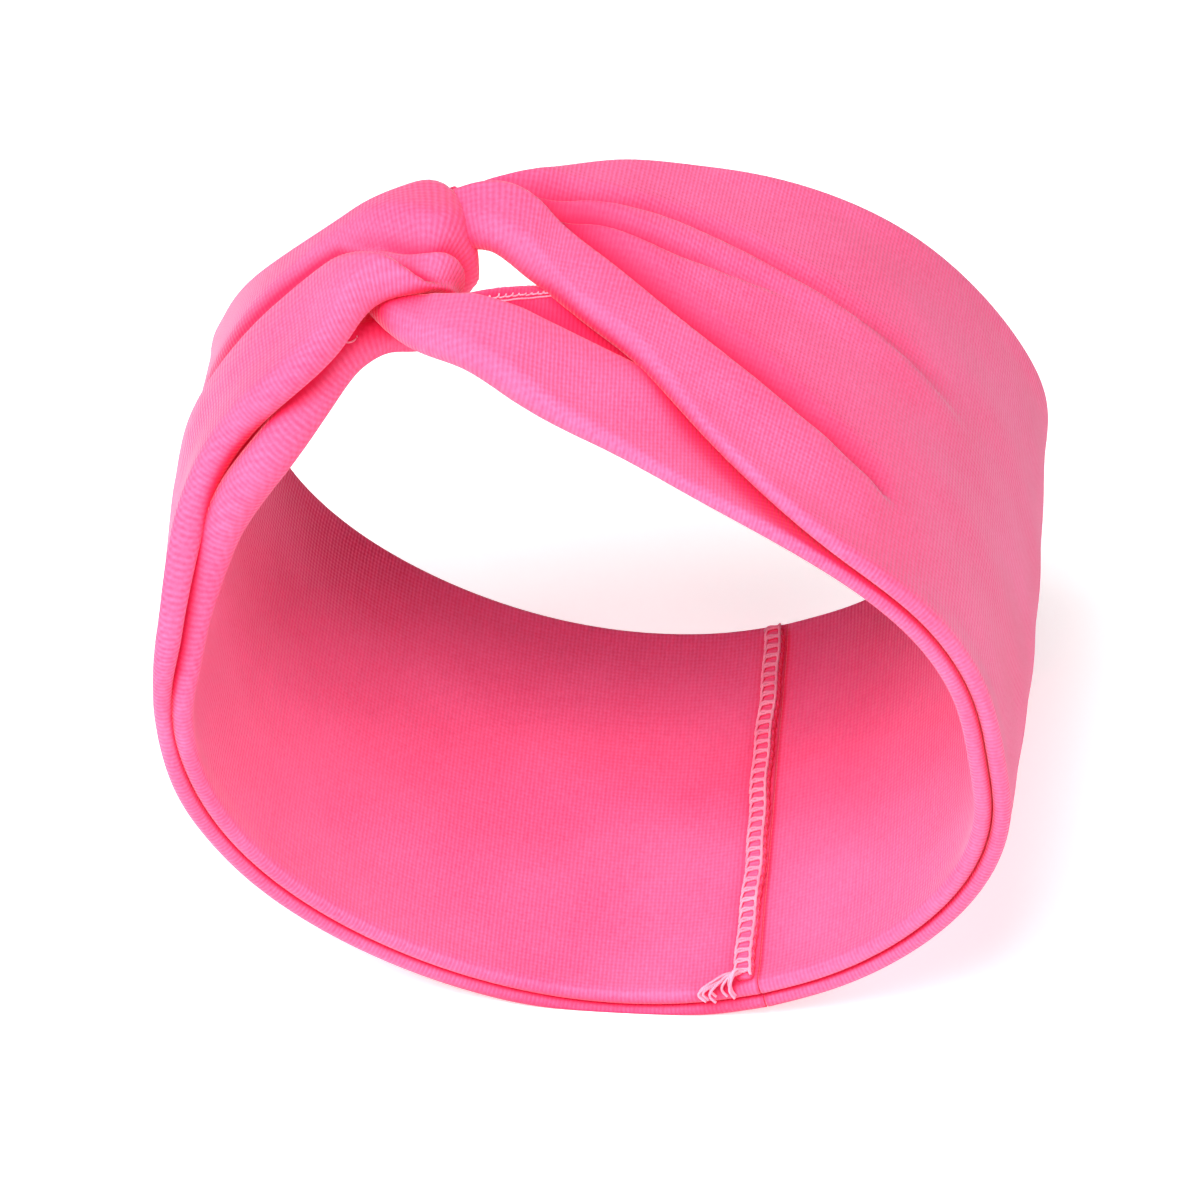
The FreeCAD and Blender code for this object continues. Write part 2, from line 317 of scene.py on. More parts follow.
def half_thickness(place, half_width, spread, roll_near, roll_far):
    """Half the strip's thickness: round at the folded edges, thinner between them."""
    from_near = (place + 1) * half_width[:, None]
    from_far = (1 - place) * half_width[:, None]
    thick = np.broadcast_to(spread[:, None], place.shape).copy()
    for distance, roll in ((from_near, roll_near[:, None]), (from_far, roll_far[:, None])):
        beyond = np.clip(distance - roll / 2, 0, None)
        thick += (roll - spread[:, None]).clip(0) * np.exp(-(beyond / roll) ** 2)
    result = thick / 2
    for distance, roll in ((from_near, roll_near[:, None]), (from_far, roll_far[:, None])):
        inside = np.clip(1 - distance / (roll / 2), 0, 1)
        result = result * np.sqrt(1 - inside ** 2)
    return result


def crease(angle, y, line, near_radius, far_radius, near_reach=7.0, far_reach=2.5, far_roll=0.0,
           dark=((0.0, 1.5),), fade=((0.0, 11.0),)):
    """A fold that laps towards the far rim: two rolls meet in a groove and the near one stands higher.

    line holds (angle, y, depth) points. dark and fade hold (angle, width) points: the cloth behind the
    fold gets painted shade, full for one width and fading out over the other. Gives the height, how far
    the cloth leans to the far rim, and the painted shade.
    """
    places, ys, depths = np.array(line, float).T
    centre = spline(places, ys, angle)
    depth = steps(list(zip(places, depths)), angle) * ((angle > places[0]) & (angle < places[-1]))
    step = 1.0
    lean = (spline(places, ys, angle + step) - spline(places, ys, angle - step)) / (2 * step)
    arc = np.radians(1.0) * ring_radius(angle)
    distance = (y - centre) / np.sqrt(1 + (lean / arc) ** 2)
    near = distance < 0
    inside = np.clip(1 - np.abs(distance) / np.where(near, near_radius, far_radius), 0, 1)
    groove = np.where(near, inside ** 2, inside * inside * (3 - 2 * inside))
    crest = CREST_SHARE * bell(distance + near_radius, np.where(near, near_reach, far_reach))
    lap = LAP_SHARE * bell(distance + 0.8 * near_radius, 0.7 * near_radius)
    beyond = far_roll * bell(distance - 1.1 * far_radius, 0.5 * far_radius)
    # Painted shade behind the fold: full over one width, then fading out over the next; shallow folds get
    # less.
    shade_full_width, shade_fade_width = (np.interp(angle, *zip(*widths)) for widths in (dark, fade))
    inner = np.clip(1 - (distance - shade_full_width) / shade_fade_width, 0, 1) * np.clip((distance + 1.0) / 1.5, 0, 1)
    shade = inner ** SHADE_FALL * np.clip(depth / SHADE_FULL_DEPTH, 0, 1)
    return np.stack((depth * (crest - groove + beyond), depth * lap, shade))


def ripples(along, across, seed):
    """Faint irregular dents, as waves of a few directions from a seeded generator."""
    random = np.random.default_rng(seed)
    total = np.zeros_like(along)
    for _ in range(RIPPLE_WAVES):
        turn = random.normal(0, 0.5)
        wave = random.uniform(0.6, 1.6) / RIPPLE_PITCH
        start = random.uniform(0, 2 * math.pi)
        travel = across * math.cos(turn) + along * math.sin(turn) * 0.6
        total += np.sin(2 * math.pi * wave * travel + start)
    return RIPPLE_SIZE * total / RIPPLE_WAVES


def strip_grid(rows, facing, rolls, relief, seed):
    """The two plies of a strip and the row order along it.

    Each ply is a grid of points, and for each point its place along and across the strip, the painted
    shade of the folds and its place from -1 at the near edge to 1 at the far edge.
    """
    middle = rows[:, 1]
    lengths = np.concatenate(([0], np.cumsum(np.linalg.norm(np.diff(middle, axis=0), axis=1))))
    at = np.linspace(0, lengths[-1], round(lengths[-1] / ROW_PITCH))
    lines = spline(lengths, rows, at)
    order = spline(lengths, np.arange(len(rows)), at)
    chord = np.linalg.norm(np.diff(lines, axis=1), axis=2).sum(axis=1)
    half_width = chord / 2
    spread = np.clip(BUNDLE_AREA / chord, PLY_SPREAD, BUNDLE_LIMIT)
    roll_near, roll_far = (np.minimum(np.maximum(steps(roll, order), spread), chord * ROLL_LIMIT)
                           for roll in rolls)
    plies = []
    for side, count in ((1, FRONT_COLUMNS), (-1, BACK_COLUMNS)):
        place = columns(half_width, roll_near, roll_far, count)
        base = base_surface(lines, place)
        normal = surface_normals(base, facing)
        half = half_thickness(place, half_width, spread, roll_near, roll_far)
        from_edge = (1 - np.abs(place)) * half_width[:, None]
        across = place * half_width[:, None]
        along = np.broadcast_to(at[:, None], place.shape)
        lift, lap, shade = relief(base, order[:, None]) * np.clip(from_edge / FOLD_MARGIN, 0, 1)
        lift = lift + ripples(along, across, seed) * np.clip(from_edge / RIPPLE_MARGIN, 0, 1)
        share = 1.0 if side > 0 else BACK_SHARE
        sideways = unit(np.gradient(base, axis=1))
        sideways = sideways * np.sign(sideways[..., 1:2])
        raised = base + normal * (side * half + lift * share)[..., None]
        raised = raised + sideways * (lap * share)[..., None]
        # The painted fold shade is kept on the outward ply only.
        plies.append((raised, along, across, np.clip(shade, 0, 1) * (side > 0), place))
    return plies, order


def closed_loops(plies):
    """Front and back ply joined into closed loops: points, places along and across, and painted fold shade.
    """
    return [np.concatenate((front, back[:, -2:0:-1]), axis=1) for front, back in zip(*plies)][:4]


def polar(points):
    """Angle on the ring, clockwise from the top, and Y of points."""
    angle = np.degrees(np.arctan2(points[..., 0] - CENTRE_X, points[..., 2] - CENTRE_Z))
    return angle, points[..., 1]


# ---------------------------------------------------------------- folds
LEFT_TURN = 21.0            # the row where each strip turns back inside the knot
RIGHT_TURN = 18.0

# Every fold laps towards the far rim. Points are angle on the ring, Y and depth of the fold.
RIGHT_DEEP_FOLD = ((-24, 25.2, 2.0), (-14, 22.2, 3.2), (-5, 14.9, 4.2), (10.6, 2.3, 4.6), (27.4, -11.6, 4.6),
                   (37.6, -19.5, 4.0), (47, -24.6, 2.4), (54, -27.5, 0.0))
RIGHT_MIDDLE_FOLD = ((-24, 26.5, 1.2), (-12.3, 23.0, 2.2), (-2.3, 21.2, 2.8), (5.9, 18.8, 2.6),
                     (16, 16.9, 1.8), (23.3, 15.7, 0.9), (36, 13.0, 0.0))
RIGHT_HIGH_FOLD = ((-24, 28.0, 1.2), (-6.8, 26.8, 2.4), (10, 26.4, 3.0), (22.6, 23.2, 2.6), (33.2, 19.2, 1.9),
                   (52, 13.3, 1.1), (68, 8.0, 0.0))
RIGHT_LOWER_FOLD = ((-30, 2.0, 0.0), (-26, 0.6, 1.6), (-20, -1.9, 3.0), (-7, -5.9, 4.2), (8, -9.4, 3.6),
                    (24, -15.0, 0.0))
LEFT_MAIN_FOLD = ((-100, -20.0, 0.0), (-84, -10.0, 2.4), (-74, -5.0, 4.6), (-64, -2.2, 5.8), (-55, 0.0, 6.0),
                  (-49.5, 2.0, 6.0), (-44.9, 3.8, 6.0), (-38, 6.0, 5.6), (-32.4, 4.2, 5.2), (-26, 0.4, 4.4),
                  (-19, 0.6, 2.0))
LEFT_UPPER_FOLD = ((-42, 17.0, 0.0), (-34, 12.0, 1.0), (-31.4, 10.2, 1.8), (-26.5, 7.8, 2.6),
                   (-23.5, 9.4, 3.0), (-19, 13.5, 2.4))

# Widths of the painted shade behind the left strip's main fold, as (angle, width).
LEFT_SHADE_FULL = ((-100, 10.8), (-58, 10.8), (-44, 9.4), (-40, 8.6), (-36, 5.0), (-32, 1.5))
LEFT_SHADE_FADE = ((-100, 5.0), (-62, 5.0), (-46, 2.6), (-36, 2.4), (-32, 1.6))


def together(*folds):
    """Folds on one surface: heights and leans add up, and the darkest painted shade counts."""
    total = sum(folds)
    total[2] = np.max([fold[2] for fold in folds], axis=0)
    return total


def left_relief(points, order):
    """Folds of the left strip: they run up its outer arm and over the knot."""
    angle, y = polar(points)
    outer = 1 - steps(((LEFT_TURN + 0.3, 0), (LEFT_TURN + 1.3, 1)), order)
    main = crease(angle, y, LEFT_MAIN_FOLD, 3.0, 14.0, near_reach=8.0, far_reach=3.5, far_roll=0.05,
                  dark=LEFT_SHADE_FULL, fade=LEFT_SHADE_FADE)
    upper = crease(angle, y, LEFT_UPPER_FOLD, 2.4, 7.0, near_reach=5.0, far_roll=0.1,
                   dark=((0.0, 1.2),), fade=((0.0, 2.4),))
    return outer * together(main, upper)


def right_relief(points, order):
    """Folds of the right strip: three on its outer arm and one on its inner arm."""
    angle, y = polar(points)
    inner = steps(((RIGHT_TURN - 0.5, 0), (RIGHT_TURN + 0.5, 1)), order)
    deep = crease(angle, y, RIGHT_DEEP_FOLD, 2.2, 9.0, near_reach=8.0, dark=((0.0, 2.0),))
    middle = crease(angle, y, RIGHT_MIDDLE_FOLD, 1.6, 5.0, near_reach=4.0, fade=((0.0, 6.0),))
    high = crease(angle, y, RIGHT_HIGH_FOLD, 1.6, 7.0, near_reach=4.0, fade=((0.0, 7.0),))
    lower = crease(angle, y, RIGHT_LOWER_FOLD, 2.2, 10.0, dark=((0.0, 4.0),))
    return (1 - inner) * together(deep, middle, high) + inner * lower


# ---------------------------------------------------------------- meshes
MAP_NAME = "cloth"
# Name of the mesh attribute that holds the painted fold shade.
PAINTED_SHADE_NAME = "painted_fold_shade"
PATH_STEP = 0.25        # between loops of points along a thread
TUBE_SIDES = 8
TUBE_START = (0.31, 0.52, 0.79)     # a direction that no thread starts along
FLOOR_SOFTNESS = 0.35   # height over which the cloth flattens on the floor


def rest_on_floor(points):
    """Points pushed up smoothly where the band rests on the floor."""
    points[..., 2] = FLOOR_SOFTNESS * np.logaddexp(0, points[..., 2] / FLOOR_SOFTNESS)
    return points


def grid_mesh(name, points, along, across, shade=None):
    """Closed tube mesh from loops of points, with end caps, a UV map in millimetres and painted fold shade.
    """
    rows, loop = points.shape[:2]
    index = np.arange(rows * loop).reshape(rows, loop)
    right = np.roll(index, -1, axis=1)
    faces = np.stack((index[:-1], right[:-1], right[1:], index[1:]), axis=-1).reshape(-1, 4)
    mesh = bpy.data.meshes.new(name)
    caps = [list(index[0][::-1]), list(index[-1])]
    mesh.from_pydata((points.reshape(-1, 3) * MM).tolist(), [], faces.tolist() + caps)
    layer = mesh.uv_layers.new(name=MAP_NAME)
    corners = np.zeros(len(mesh.loops), np.int64)
    mesh.loops.foreach_get("vertex_index", corners)
    uv = np.stack((along.reshape(-1)[corners], across.reshape(-1)[corners]), axis=-1)
    layer.data.foreach_set("uv", uv.astype(np.float32).ravel())
    # Painted fold shade, read by the knit material.
    if shade is not None:
        store = mesh.attributes.new(PAINTED_SHADE_NAME, "FLOAT", "POINT")
        store.data.foreach_set("value", shade.astype(np.float32).ravel())
    mesh.shade_smooth()
    mesh.validate()
    item = bpy.data.objects.new(name, mesh)
    bpy.context.scene.collection.objects.link(item)
    return item


def smooth_path(points):
    """Curve through control points, sampled every PATH_STEP."""
    points = np.array(points, float)
    lengths = np.concatenate(([0], np.cumsum(np.linalg.norm(np.diff(points, axis=0), axis=1))))
    return spline(lengths, points, np.arange(0, lengths[-1], PATH_STEP))


def tube(path, radius):
    """Loops of points round a path, and places along and round it."""
    forward = unit(np.gradient(path, axis=0))
    side = np.cross(forward[0], TUBE_START)
    sides = []
    for direction in forward:
        side = side - direction * np.dot(side, direction)
        side = side / np.linalg.norm(side)
        sides.append(side)
    sides = np.array(sides)[:, None]
    other = np.cross(forward[:, None], sides)
    turn = (2 * math.pi * np.arange(TUBE_SIDES) / TUBE_SIDES)[None, :, None]
    loops = path[:, None] + radius * (sides * np.cos(turn) + other * np.sin(turn))
    along = np.broadcast_to(np.arange(len(path))[:, None] * PATH_STEP, loops.shape[:2])
    return loops, along, np.broadcast_to(turn[..., 0], loops.shape[:2])


def tubes_mesh(name, paths, radius):
    """One mesh of separate round threads."""
    parts = [grid_mesh(name, *tube(smooth_path(path), radius)) for path in paths]
    if len(parts) > 1:
        with bpy.context.temp_override(active_object=parts[0], selected_editable_objects=parts):
            bpy.ops.object.join()
    return parts[0]


def add_piece(item, node, material):
    """The piece stands for a CAD node and rides on the only body."""
    item.data.materials.append(material)
    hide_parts(node)
    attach(item, "root")
    return item


# ---------------------------------------------------------------- back seam
SEAM_PITCH = 2.7
STITCH_RADIUS = 0.24
ALLOWANCE_START = 0.5       # how far to the left of the seam it starts
ALLOWANCE_WIDTH = 3.5
ALLOWANCE_HEIGHT = 2.0
ALLOWANCE_SINK = 0.25       # its foot presses into the inner layer by this much
ALLOWANCE_END = 1.6         # how far it stops short of each rim
ALLOWANCE_TAPER = 1.5       # length over which its ends round off
STITCH_PINCH = 0.07         # how much each stitch narrows it
STITCH_END = 1.0            # how far the stitches stop short of its ends
LOOSE_ENDS = 9
INNER_FACE = LAYER_HEIGHT + PLY_SPREAD / 2


def seam_point(left, lift, y):
    """Point inside the ring so far to the left of the back seam and above the inner layer's face."""
    arc = math.radians(1) * ring_radius(SEAM_ANGLE)
    return ring_point(SEAM_ANGLE + left / arc, -INNER_FACE - lift, y)


def allowance_sway(y):
    """The allowance wanders a little from a straight line."""
    return 0.22 * np.sin(0.13 * y + 0.4) + 0.12 * np.sin(0.41 * y)


def allowance_loops():
    """The raised allowance of the back seam, pinched at each stitch."""
    half_length = RIM - ALLOWANCE_END
    y = np.linspace(-half_length, half_length, 400)[:, None]
    turn = np.linspace(0, 2 * math.pi, 41)[None, :-1]
    end = np.clip((half_length - np.abs(y)) / ALLOWANCE_TAPER, 0, 1)
    swell = (0.55 + 0.45 * np.sqrt(end)) * (1 - STITCH_PINCH * np.cos(2 * math.pi * y / SEAM_PITCH))
    side, rise = np.cos(turn), np.sin(turn)
    wide = ALLOWANCE_WIDTH / 2 * np.sign(side) * np.abs(side) ** 0.7 * swell
    high = ALLOWANCE_HEIGHT / 2 * np.sign(rise) * np.abs(rise) ** 0.8 * swell
    left = ALLOWANCE_START + ALLOWANCE_WIDTH / 2 + allowance_sway(y) + wide
    points = seam_point(left, high + ALLOWANCE_HEIGHT / 2 - ALLOWANCE_SINK, y)
    return points, y + 0 * turn, 0 * y + turn * ALLOWANCE_WIDTH / math.pi


def stitch_rows():
    """Y of each stitch, near rim to far rim."""
    half_length = RIM - ALLOWANCE_END - STITCH_END
    count = round(2 * half_length / SEAM_PITCH)
    return np.linspace(-half_length, half_length, count + 1)


def seam_path(stitch, rows):
    """Path that repeats a stitch of (left, lift, y) points over the allowance's top at each row."""
    top = ALLOWANCE_HEIGHT - ALLOWANCE_SINK
    return [seam_point(left + allowance_sway(y + more), top + lift, y + more) for y in rows
            for left, lift, more in stitch]


def back_needle_path():
    """Straight stitches along the side of the allowance next to the seam."""
    stitch = ((0.95, -0.25, -1.0), (0.95, 0.02, -0.4), (0.95, 0.02, 0.6), (0.95, -0.25, 1.2))
    return seam_path(stitch, stitch_rows())


def back_upper_path():
    """Each stitch crosses the allowance to its free edge and comes back: the rungs of a ladder."""
    rung = ((1.0, 0.0, -0.9), (1.15, 0.12, -0.30), (2.3, 0.2, -0.26), (3.5, 0.06, -0.24), (3.75, -0.1, 0.0),
            (3.5, 0.06, 0.24), (2.3, 0.2, 0.26), (1.15, 0.12, 0.30), (1.0, 0.0, 0.9))
    return seam_path(rung, stitch_rows())


def back_lower_path():
    """The edge thread runs from rung to rung round the free edge."""
    stitch = ((3.75, 0.0, -0.9), (3.5, 0.1, -0.1), (3.9, -0.3, 0.2), (4.15, -0.9, 0.7))
    return seam_path(stitch, stitch_rows())


def loose_ends():
    """Frayed loops and tails of the edge thread at the near rim."""
    random = np.random.default_rng(11)
    start = -RIM + ALLOWANCE_END
    tails = []
    for _ in range(LOOSE_ENDS):
        spread = random.uniform(1.5, 8.5)
        arch = random.uniform(0.6, 2.2)
        out = random.uniform(0.4, 2.6)
        tails.append([
            seam_point(2.6 + random.uniform(-0.8, 1.0), 1.4, start + 1.0),
            seam_point(2.8 + spread * 0.3, 1.3 + arch, start - 0.4),
            seam_point(2.8 + spread * 0.7, 0.9 + arch * 0.8, start - 1.0 - out * 0.4),
            seam_point(2.6 + spread, 0.5, start - 0.8 - out),
            seam_point(2.2 + spread * 0.9, -0.8, start - 1.3 - out)])
    return tails


# ---------------------------------------------------------------- lengthwise seams
LONG_PITCH = 2.5
LONG_RADIUS = 0.15
LONG_MARGIN = 0.97      # stitches stay this far inside the strip's edges


def ply_point(strip, side, row, place, lift):
    """Point over one ply of a strip, at a row of its outline and a place across it."""
    plies, order = strip
    at = np.interp(row, order, np.arange(len(order)))
    i = min(int(at), len(order) - 2)
    found = []
    for points, _, _, _, places in plies:
        ends = [[np.interp(place, places[j], points[j, :, k]) for k in range(3)] for j in (i, i + 1)]
        found.append(np.array(ends[0]) + (at - i) * (np.array(ends[1]) - ends[0]))
    away = found[side] - found[1 - side]
    return found[side] + away / np.linalg.norm(away) * lift


def long_seam_path(strip, side, line, stitch):
    """Path of a stitch repeated along a line of (row, place) points.

    stitch holds (distance across, lift, share of a pitch) points.
    """
    rows, places = np.array(line, float).T
    plies, order = strip
    row_lengths = plies[0][1][:, 0]
    half_widths = plies[0][2][:, -1]
    lengths = np.interp(rows, order, row_lengths)
    direction = math.copysign(1, lengths[-1] - lengths[0])
    path = []
    for i in range(round(abs(lengths[-1] - lengths[0]) / LONG_PITCH)):
        for across, lift, more in stitch:
            length = lengths[0] + direction * LONG_PITCH * (i + more)
            row = np.interp(length, row_lengths, order)
            place = np.interp(direction * length, direction * lengths, places)
            half_width = half_widths[int(np.interp(row, order, np.arange(len(order))))]
            place = np.clip(place + across / half_width, -LONG_MARGIN, LONG_MARGIN)
            path.append(ply_point(strip, side, row, place, lift))
    return path


# ---------------------------------------------------------------- materials
COURSE_PITCH = 0.74         # between the knit's rows, along a strip
WALE_PITCH = 0.95           # between its columns, across a strip
KNIT_DARK = (0.80, 0.042, 0.150, 1)
KNIT_PALE = (0.92, 0.165, 0.360, 1)
KNIT_PAINTED_SHADE = (0.66, 0.007, 0.070, 1)     # painted shade colour, in folds and hollows
KNIT_PAINTED_GLOW = (1.0, 0.012, 0.06, 1)       # painted glow in hollows
KNIT_SHEEN = (1.0, 0.75, 0.88, 1)
PAINTED_GLOW_STRENGTH = 0.16
HOLLOW_SHADE_REACH = 0.010        # metres; how near other cloth must be for a hollow to take the painted shade and glow
FOLD_SHADE_STRENGTH = 0.97        # how fully a fold takes the painted shade colour
TWIST_PITCH = 0.55          # of the sewing thread
THREAD_DARK = (0.86, 0.17, 0.33, 1)
THREAD_PALE = (0.96, 0.42, 0.56, 1)


class Nodes:
    """Short way to add and join shader nodes."""

    def __init__(self, name):
        self.material = bpy.data.materials.new(name)
        self.material.use_nodes = True
        self.tree = self.material.node_tree
        self.shader = self.tree.nodes["Principled BSDF"]

    def add(self, kind, settings=None, **links):
        """New node; links name its inputs, with _ for a space."""
        node = self.tree.nodes.new(kind)
        for key, value in (settings or {}).items():
            setattr(node, key, value)
        for key, value in links.items():
            self.put(node, key.replace("_", " "), value)
        return node

    def put(self, node, key, value):
        """Join a socket to an input, or set its value."""
        socket = node.inputs[key]
        if isinstance(value, bpy.types.NodeSocket):
            self.tree.links.new(value, socket)
        else:
            socket.default_value = value

    def math(self, operation, *values):
        """Output of a new maths node."""
        node = self.add("ShaderNodeMath", {"operation": operation})
        for i, value in enumerate(values):
            self.put(node, i, value)
        return node.outputs[0]

    def noise(self, scale, detail):
        """Output of a new noise texture in object space."""
        place = self.add("ShaderNodeTexCoord").outputs["Object"]
        return self.add("ShaderNodeTexNoise", Vector=place, Scale=scale, Detail=detail).outputs[0]

    def cloth_place(self):
        """Places along and across, or round, from the UV map."""
        place = self.add("ShaderNodeUVMap", {"uv_map": MAP_NAME})
        split = self.add("ShaderNodeSeparateXYZ", Vector=place.outputs[0])
        return split.outputs[0], split.outputs[1]

    def ramp(self, tone, low, high, dark, pale):
        """Colour that goes from dark, where tone is low, to pale, where it is high."""
        node = self.add("ShaderNodeValToRGB", Fac=tone)
        for stop, position, colour in zip(node.color_ramp.elements, (low, high), (dark, pale)):
            stop.position = position
            stop.color = colour
        return node.outputs[0]


def knit_material():
    """Fine ribbed stretch knit with a deep red painted shade and a faint painted glow in its folds and
    hollows.
    """
    kit = Nodes("knit")
    along, across = kit.cloth_place()
    course = kit.math("SINE", kit.math("MULTIPLY", along, 2 * math.pi / COURSE_PITCH))
    wale = kit.math("SINE", kit.math("MULTIPLY", across, 2 * math.pi / WALE_PITCH))
    weave = kit.math("ADD", kit.math("MULTIPLY", course, 0.7), kit.math("MULTIPLY", wale, 0.3))
    cloud = kit.noise(scale=38.0, detail=3.0)
    fuzz = kit.noise(scale=1500.0, detail=2.0)
    tone = kit.math("ADD", kit.math("MULTIPLY", weave, 0.13), kit.math("MULTIPLY", cloud, 0.45))
    tone = kit.math("ADD", tone, kit.math("MULTIPLY", fuzz, 0.40))
    bright = kit.ramp(tone, 0.10, 0.75, KNIT_DARK, KNIT_PALE)
    # Painted shade: where other cloth is near (ambient occlusion) or the painted fold shade is high, the
    # colour is mixed towards the deep red painted shade colour.
    hollow = kit.add("ShaderNodeAmbientOcclusion", {"samples": 6}, Distance=HOLLOW_SHADE_REACH)
    open_share = kit.add("ShaderNodeMapRange", {"interpolation_type": "SMOOTHSTEP"},
                         Value=hollow.outputs["AO"], From_Min=0.42, From_Max=0.95).outputs[0]
    fold = kit.add("ShaderNodeAttribute", {"attribute_name": PAINTED_SHADE_NAME})
    lit = kit.math("SUBTRACT", 1.0, kit.math("MULTIPLY", fold.outputs["Fac"], FOLD_SHADE_STRENGTH))
    colour = kit.add("ShaderNodeMix", {"data_type": "RGBA"}, Factor=kit.math("MULTIPLY", open_share, lit))
    first_colour, second_colour, mixed_colour = 6, 7, 2
    kit.put(colour, first_colour, KNIT_PAINTED_SHADE)
    kit.put(colour, second_colour, bright)
    kit.put(kit.shader, "Base Color", colour.outputs[mixed_colour])
    # Painted glow: hollows give off a faint red light of their own.
    glow = kit.math("MULTIPLY", kit.math("SUBTRACT", 1.0, open_share), PAINTED_GLOW_STRENGTH)
    kit.put(kit.shader, "Emission Color", KNIT_PAINTED_GLOW)
    kit.put(kit.shader, "Emission Strength", glow)
    kit.put(kit.shader, "Roughness", 0.72)
    kit.put(kit.shader, "Sheen Weight", 0.35)
    kit.put(kit.shader, "Sheen Roughness", 0.45)
    kit.put(kit.shader, "Sheen Tint", KNIT_SHEEN)
    kit.put(kit.shader, "Specular IOR Level", 0.25)
    ribs = kit.add("ShaderNodeBump", Strength=0.5, Distance=0.00012, Height=weave)
    nap = kit.add("ShaderNodeBump", Strength=0.3, Distance=0.00010, Height=fuzz, Normal=ribs.outputs[0])
    kit.put(kit.shader, "Normal", nap.outputs[0])
    return kit.material


def thread_material():
    """Pale soft overlock thread of twisted filaments."""
    kit = Nodes("seam_thread")
    along, around = kit.cloth_place()
    twist = kit.math("ADD", kit.math("MULTIPLY", along, 2 * math.pi / TWIST_PITCH), around)
    filament = kit.math("SINE", kit.math("MULTIPLY", twist, 2.0))
    fuzz = kit.noise(scale=1800.0, detail=2.0)
    patch = kit.noise(scale=160.0, detail=2.0)
    tone = kit.math("ADD", kit.math("MULTIPLY", filament, 0.16), patch)
    kit.put(kit.shader, "Base Color", kit.ramp(tone, 0.2, 0.8, THREAD_DARK, THREAD_PALE))
    kit.put(kit.shader, "Roughness", 0.62)
    kit.put(kit.shader, "Sheen Weight", 0.4)
    plies = kit.add("ShaderNodeBump", Strength=0.6, Distance=0.00006, Height=filament)
    nap = kit.add("ShaderNodeBump", Strength=0.4, Distance=0.00006, Height=fuzz, Normal=plies.outputs[0])
    kit.put(kit.shader, "Normal", nap.outputs[0])
    return kit.material


# ---------------------------------------------------------------- build
# Thickness of the folded edges along a strip, as (row, thickness).
PLAIN_ROLL = ((0, EDGE_ROLL), (1, EDGE_ROLL))
LEFT_NEAR_ROLL = ((0, EDGE_ROLL), (12, 3.3), (13, 4.4), (14, 5.6), (16, 6.2), (18, 6.0), (20, 6.5), (23, 6.5),
                  (25, 7.4), (27, 8.0), (28, 8.0), (29, 7.2), (30, 5.4), (31, 3.6), (32, EDGE_ROLL))
RIGHT_NEAR_ROLL = ((10, EDGE_ROLL), (13, 4.4), (16, 5.0), (21, 5.0), (24, EDGE_ROLL))

# Where the lengthwise seams show: the ply and its (row, place) points.
LEFT_SEAMS = (
    (1, ((1, 0.25), (11, 0.25))),
    (1, ((42, -0.25), (31, -0.25), (29, -0.3), (27, -0.5), (25.5, -0.8), (24.6, -0.88))),
)
RIGHT_SEAMS = (
    (1, ((1, 0.25), (8, 0.25))),
    (0, ((34, 0.25), (28, 0.2), (25, -0.3), (23, -0.8), (22, -0.84), (21.2, -0.84))),
)
LONG_STITCHES = {
    "needle": ((2.4, 0.10, 0.0), (2.5, 0.16, 0.5)),
    "upper_looper": ((-1.8, 0.16, 0.0), (1.8, 0.24, 0.25), (1.8, 0.16, 0.5), (-1.8, 0.24, 0.75)),
    "lower_looper": ((1.8, 0.10, 0.0), (-1.8, 0.16, 0.25), (-1.8, 0.10, 0.5), (1.8, 0.16, 0.75)),
}


def fabric(left_strip, right_strip):
    """The two strips and the raised seam allowance inside the band."""
    knit = knit_material()
    for name, strip in (("left_strip", left_strip), ("right_strip", right_strip)):
        points, along, across, shade = closed_loops(strip[0])
        piece = grid_mesh(name + "_knit", rest_on_floor(points), along, across, shade)
        add_piece(piece, name, knit)
    add_piece(grid_mesh("left_strip_seam_allowance", *allowance_loops()), "left_strip", knit)


def stitches(left_strip, right_strip):
    """The threads of the back seam and of the two lengthwise seams."""
    thread = thread_material()
    back_paths = {
        "needle": [back_needle_path()],
        "upper_looper": [back_upper_path()],
        "lower_looper": [back_lower_path()] + loose_ends(),
    }
    for kind, paths in back_paths.items():
        node = "back_seam_" + kind + "_thread"
        add_piece(tubes_mesh(node + "_stitches", paths, STITCH_RADIUS), node, thread)
    long_seams = (("left_strip", left_strip, LEFT_SEAMS), ("right_strip", right_strip, RIGHT_SEAMS))
    for name, strip, runs in long_seams:
        for kind, stitch in LONG_STITCHES.items():
            paths = [long_seam_path(strip, side, line, stitch) for side, line in runs]
            node = name + "_seam_" + kind + "_thread"
            add_piece(tubes_mesh(node + "_stitches", paths, LONG_RADIUS), node, thread)


# ---------------------------------------------------------------- stage, light and camera
FLOOR_SIZE = 6.0            # metres, like all lengths below
FLOOR_COLOUR = (0.85, 0.85, 0.85, 1)
FLOOR_GLOW = 0.55
LIGHT_DISTANCE = 1.2
LIGHTS = (                  # name, azimuth and elevation in degrees, size, power
    ("top_light", -28, 60, 0.7, 18.5),
    ("left_light", -64, 34, 0.7, 8.5),
    ("right_light", 52, 30, 0.8, 6.8),
)
CAMERA_AZIMUTH = 4.2
CAMERA_ELEVATION = 40.0
CAMERA_DISTANCE = 1.4
CAMERA_SENSOR = 36.0        # millimetres
CAMERA_AIM_Z = (CENTRE_Z - 8.0) * MM
VIEW_WIDTH = 0.212          # what the frame spans at that distance
WORLD_FAR = 0.10            # brightness of the surroundings towards +Y
WORLD_NEAR = 0.32           # and towards -Y, behind the camera


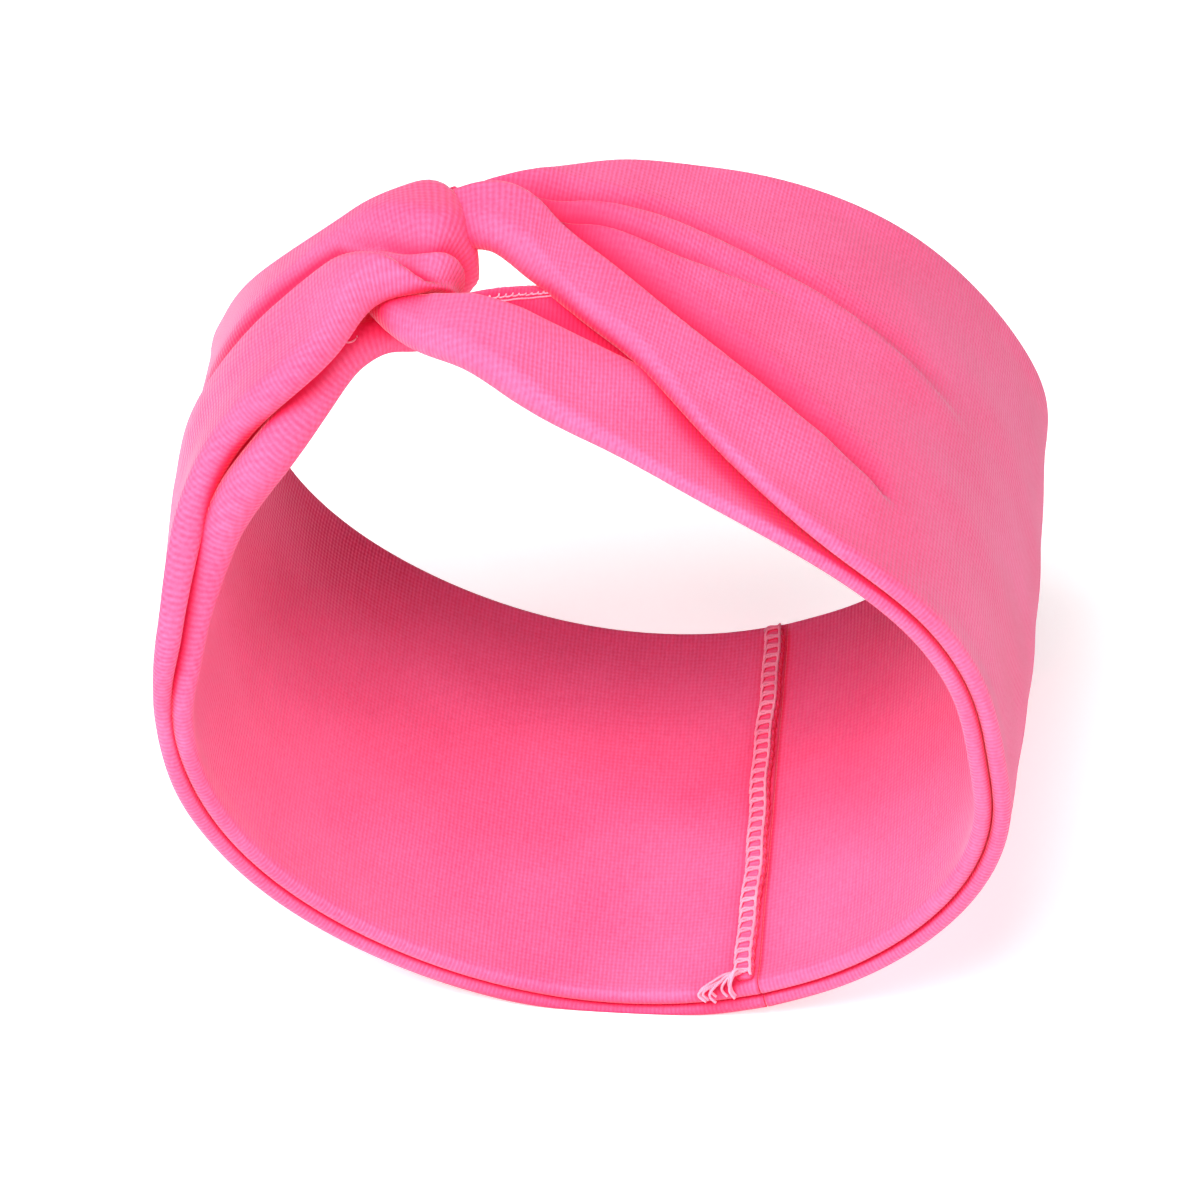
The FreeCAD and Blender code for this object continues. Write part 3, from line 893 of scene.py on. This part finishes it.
def stage():
    """Plain pale floor."""
    bpy.ops.mesh.primitive_plane_add(size=FLOOR_SIZE, location=(0, 0, 0))
    floor = bpy.context.object
    floor.name = "floor"
    kit = Nodes("floor")
    kit.put(kit.shader, "Base Color", FLOOR_COLOUR)
    kit.put(kit.shader, "Roughness", 0.9)
    kit.put(kit.shader, "Emission Color", (1, 1, 1, 1))
    kit.put(kit.shader, "Emission Strength", FLOOR_GLOW)
    floor.data.materials.append(kit.material)


def hang(name, data, azimuth, elevation, distance, aim_z):
    """Put a light or camera at a direction and distance from the ring's axis, looking at it."""
    a, e = math.radians(azimuth), math.radians(elevation)
    away = Vector((math.sin(a) * math.cos(e), -math.cos(a) * math.cos(e), math.sin(e)))
    item = bpy.data.objects.new(name, data)
    item.location = Vector((CENTRE_X * MM, 0, aim_z)) + away * distance
    item.rotation_euler = away.to_track_quat("Z", "Y").to_euler()
    bpy.context.scene.collection.objects.link(item)
    return item


def lights():
    """Soft square lights."""
    for name, azimuth, elevation, size, power in LIGHTS:
        data = bpy.data.lights.new(name, "AREA")
        data.size = size
        data.energy = power
        hang(name, data, azimuth, elevation, LIGHT_DISTANCE, CENTRE_Z * MM)


def camera():
    """Long lens, looking along +Y and down."""
    data = bpy.data.cameras.new("camera")
    data.sensor_width = CAMERA_SENSOR
    data.lens = CAMERA_SENSOR * CAMERA_DISTANCE / VIEW_WIDTH
    data.clip_end = 20.0
    item = hang("camera", data, CAMERA_AZIMUTH, CAMERA_ELEVATION, CAMERA_DISTANCE, CAMERA_AIM_Z)
    bpy.context.scene.camera = item


def surroundings():
    """Pale grey world, brighter on the camera's side."""
    world = bpy.data.worlds.new("studio")
    world.use_nodes = True
    links = world.node_tree.links
    nodes = world.node_tree.nodes
    direction = nodes.new("ShaderNodeTexCoord")
    split = nodes.new("ShaderNodeSeparateXYZ")
    links.new(direction.outputs["Generated"], split.inputs[0])
    level = nodes.new("ShaderNodeMapRange")
    level.inputs["From Min"].default_value = 0.7
    level.inputs["From Max"].default_value = -0.7
    level.inputs["To Min"].default_value = WORLD_FAR
    level.inputs["To Max"].default_value = WORLD_NEAR
    links.new(split.outputs[1], level.inputs["Value"])
    links.new(level.outputs[0], nodes["Background"].inputs[1])
    bpy.context.scene.world = world


# ---------------------------------------------------------------- scene
left_grid = strip_grid(left_rows(), -1, (LEFT_NEAR_ROLL, PLAIN_ROLL), left_relief, 3)
right_grid = strip_grid(right_rows(), 1, (RIGHT_NEAR_ROLL, PLAIN_ROLL), right_relief, 5)
fabric(left_grid, right_grid)
stitches(left_grid, right_grid)
stage()
lights()
camera()
surroundings()
bpy.context.scene.view_settings.view_transform = "Standard"
